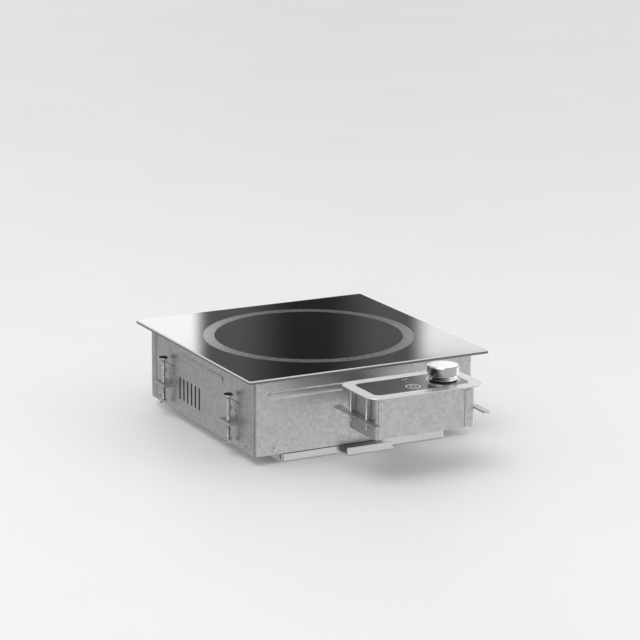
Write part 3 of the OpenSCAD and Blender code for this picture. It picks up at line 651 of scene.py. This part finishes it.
def stud_threads(finishes):
    """Threads on the lower part of the control plate's four studs."""
    plate_low, plate_high = box_mm("control_plate")
    nut_low, nut_high = box_mm("strap_nuts")
    x, y, _ = (plate_low + plate_high) / 2
    half_x = (nut_high.x - nut_low.x) / 2 - STRAP_NUT[0]
    half_y = (nut_high.y - nut_low.y) / 2 - STRAP_NUT[1]
    stud_end = plate_low.z
    thread_low, thread_high = stud_end - 0.3, stud_end + 30
    solids = []
    for side_x in (-1, 1):
        for side_y in (-1, 1):
            place = upright(x + side_x * half_x, y + side_y * half_y, 0)
            solids.append(screw_shank(STUD_THREAD, thread_low, thread_high, place, segments=16))
    new_piece("stud_threads", solids, finishes["screw_steel"], "hob")


def gland_details(finishes):
    """Grip ribs on the gland's dome nut, and the rubber seal in its mouth."""
    gland_length = 19
    low, high = box_mm("mains_gland")
    x, _, z = (low + high) / 2
    place = on_wall(x, high.y - gland_length, z, (0, 1, 0))
    grip = gear_ring(22, inner=10.2, root=10.55, tip=11.15, low=6.5, high=15.8, slope=0.6, place=place)
    new_piece("gland_grip", [grip], finishes["gland_plastic"], "hob")
    seal = revolve(GLAND_SEAL, place, segments=40, closed=True)
    new_piece("gland_seal", [seal], finishes["rubber"], "hob")


def housing_beads(finishes):
    """Stiffening beads pressed outwards in the four walls of the housing."""
    bead_width, bead_corner, bead_z = 11, 5.4, -27
    low, high = box_mm("housing_shell")
    # Each bead's length, where it is on the wall, and the way that the wall faces
    beads = ((136, low.x, 0, (-1, 0, 0)),
             (136, high.x, 0, (1, 0, 0)),
             (250, 0, high.y, (0, 1, 0)),
             (110, -86, low.y, (0, -1, 0)),
             (84, 99, low.y, (0, -1, 0)))
    solids = []
    for length, x, y, facing in beads:
        place = on_wall(x, y, bead_z, facing)
        solids.append(pressed_pad(length, bead_width, bead_corner, BEAD_EDGE, place))
    new_piece("housing_beads", solids, finishes["housing_steel"], "hob")


def corner_laps(finishes):
    """Laps at the corners of the two folded steel housings, each with its spot welds."""
    # Each lap's width, height and corner radius, its middle, the way it faces, and its welds' heights
    laps = []
    low, high = box_mm("housing_shell")
    top, bottom = high.z - 5, low.z + 3
    middle_z, height = (top + bottom) / 2, top - bottom
    from_corner = 9.5
    for x, side in ((low.x, -1), (high.x, 1)):
        for y in (low.y + from_corner, high.y - from_corner):
            laps.append((13, height, 1.2, (x, y, middle_z), (side, 0, 0), (-22, -50, -78)))
    low, high = box_mm("control_box")
    top, bottom = high.z - 5.2, low.z + 1
    middle_z, height = (top + bottom) / 2, top - bottom
    from_corner = 10
    for x in (low.x + from_corner, high.x - from_corner):
        laps.append((10, height, 1, (x, low.y, middle_z), (0, -1, 0), (-20, -46)))
    sheets, welds = [], []
    sheet_rise = LAP_EDGE[-1][1]
    for width, height, corner, middle, facing, weld_heights in laps:
        sheets.append(pressed_pad(width, height, corner, LAP_EDGE, on_wall(*middle, facing)))
        face = Vector(middle) + Vector(facing) * sheet_rise
        for z in weld_heights:
            welds.append(revolve(SPOT_WELD, on_wall(face.x, face.y, z, facing), segments=24))
    steel = finishes["housing_steel"]
    new_piece("corner_laps", sheets, steel, "hob")
    new_piece("spot_welds", welds, steel, "hob")


def flared_skirt(finishes):
    """The knob's polished skirt, hollowed towards its foot, with the hole of its set screw."""
    hole_radius, hole_length, hole_height = 1.5, 8, 3.4
    hole_start = 14
    low, high = box_mm("knob_skirt")
    x, y, _ = (low + high) / 2
    ring = revolve(SKIRT, upright(x, y, low.z), segments=96, closed=True)
    skirt = new_piece("flared_skirt", [ring], finishes["polished_steel"], "knob")
    pin = ((0, 0), (hole_radius, 0), (hole_radius, hole_length), (0, hole_length))
    place = on_wall(x, y + hole_start, low.z + hole_height, (0, 1, 0))
    points, faces = revolve(pin, place, segments=24)
    cutter_mesh = bpy.data.meshes.new("hole")
    cutter_mesh.from_pydata(points, [], faces)
    cutter = bpy.data.objects.new("hole", cutter_mesh)
    bpy.context.scene.collection.objects.link(cutter)
    drill = skirt.modifiers.new("drill", "BOOLEAN")
    drill.operation = "DIFFERENCE"
    drill.object = cutter
    shown = skirt.evaluated_get(bpy.context.evaluated_depsgraph_get())
    drilled = bpy.data.meshes.new_from_object(shown)
    skirt.modifiers.clear()
    skirt.data = drilled
    bpy.data.objects.remove(cutter)
    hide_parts("knob_skirt")


def display_digits(finish):
    """Two unlit seven-segment digits that show faintly through the fascia."""
    left_of_middle, behind_middle, half_step = 26, 15.5, 3.4
    straight, tip, half_width = 1.35, 0.45, 0.38
    low, high = box_mm("panel_fascia")
    foot, top = high.z - 0.05, high.z + 0.03
    x_middle, y_middle, _ = (low + high) / 2
    # Each segment's middle in its digit, and whether it lies across
    segments = [(0, 4, True), (0, 0, True), (0, -4, True)]
    segments += [(-2, 2, False), (2, 2, False), (-2, -2, False), (2, -2, False)]
    outline = ((-straight - tip, 0), (-straight, half_width), (straight, half_width),
               (straight + tip, 0), (straight, -half_width), (-straight, -half_width))
    sides = len(outline)
    faces = skin([(0, sides), (sides, sides)])
    faces += [list(range(sides))[::-1], list(range(sides, 2 * sides))]
    solids = []
    for digit in (-1, 1):
        x_digit = x_middle - left_of_middle + digit * half_step
        y_digit = y_middle + behind_middle
        for x_segment, y_segment, across in segments:
            points = []
            for z in (foot, top):
                for u, v in outline:
                    x, y = (u, v) if across else (v, u)
                    spot = Vector((x_digit + x_segment + x, y_digit + y_segment + y, z))
                    points.append(spot * MM)
            solids.append((points, faces))
    new_piece("display_digits", solids, finish, "hob")


# ---------- studio ----------

def area_light(name, place, size, power):
    """A soft rectangular light that shines at the model's origin."""
    data = bpy.data.lights.new(name, "AREA")
    data.shape = "RECTANGLE"
    data.size, data.size_y = size
    data.energy = power
    light = bpy.data.objects.new(name, data)
    light.location = place
    light.rotation_mode = "QUATERNION"
    light.rotation_quaternion = Vector(place).to_track_quat("Z", "Y")
    light.visible_camera = False
    bpy.context.scene.collection.objects.link(light)


def sweep(n, share, stops):
    """Brightness round the horizon, between stops of (degrees, level)."""
    node = n.add("ShaderNodeValToRGB")
    ramp = node.color_ramp
    while len(ramp.elements) < len(stops):
        ramp.elements.new(0.5)
    for element, (degrees, level) in zip(ramp.elements, stops):
        element.position = (degrees + 180) / 360
        element.color = (*grey(level), 1)
    n.link(share, node.inputs[0])
    return node.outputs["Color"]


def between(n, angle, start, end, edge):
    """1 where an angle lies from start to end, in degrees, and 0 outside, with soft edges."""
    rise = n.span(angle, math.radians(start - edge), math.radians(start + edge), 0, 1, smooth=True)
    fall = n.span(angle, math.radians(end - edge), math.radians(end + edge), 1, 0, smooth=True)
    return n.math("MULTIPLY", rise, fall)


def make_world():
    """A pale backdrop for the camera, even soft light, and for reflections a sweep with panels."""
    world = bpy.data.worlds.new("studio")
    world.use_nodes = True
    bpy.context.scene.world = world
    n = Nodes(world.node_tree)
    x, y, z = n.split(n.add("ShaderNodeTexCoord").outputs["Generated"])
    azimuth = n.math("ARCTAN2", x, y)
    elevation = n.math("ARCSINE", z)
    share = n.span(azimuth, -math.pi, math.pi)
    horizon = n.span(z, -0.06, 0.02)
    overhead = n.span(z, 0.3, 0.75, smooth=True)
    band = n.mix(horizon, sweep(n, share, LOW_SWEEP), sweep(n, share, HIGH_SWEEP))
    mirrored = n.mix(overhead, band, grey(ZENITH))
    for az_from, az_to, az_edge, el_from, el_to, el_edge, level in PANELS:
        inside = n.math("MULTIPLY", between(n, azimuth, az_from, az_to, az_edge),
                        between(n, elevation, el_from, el_to, el_edge))
        mirrored = n.mix(inside, mirrored, grey(level))
    path = n.add("ShaderNodeLightPath")
    seen = n.mix(path.outputs["Is Camera Ray"], mirrored, grey(BACKDROP))
    shown = n.mix(path.outputs["Is Diffuse Ray"], seen, grey(SOFT_LIGHT))
    background = n.tree.nodes["Background"]
    n.link(shown, background.inputs["Color"])
    background.inputs["Strength"].default_value = 1.0


def make_floor():
    """A wide pale floor just below the hob, left out of mirror reflections."""
    half = 20
    corners = [(-half, -half, 0), (half, -half, 0), (half, half, 0), (-half, half, 0)]
    mesh = bpy.data.meshes.new("floor")
    mesh.from_pydata(corners, [], [(0, 1, 2, 3)])
    mesh.materials.append(floor_material())
    floor = bpy.data.objects.new("floor", mesh)
    floor.location.z = cad_low.z - FLOOR_GAP
    floor.visible_glossy = False
    bpy.context.scene.collection.objects.link(floor)


def make_studio():
    bpy.context.scene.view_settings.view_transform = "Standard"
    make_world()
    make_floor()
    area_light("key", place=(-1.1, -0.6, 2.6), size=(1.8, 1.8), power=22)
    area_light("fill", place=(2.0, -1.8, 1.5), size=(1.6, 1.2), power=7)


make_camera()
make_studio()
finishes = dress()
jack_screws(finishes)
stud_threads(finishes)
gland_details(finishes)
housing_beads(finishes)
corner_laps(finishes)
flared_skirt(finishes)
display_digits(display_dim())
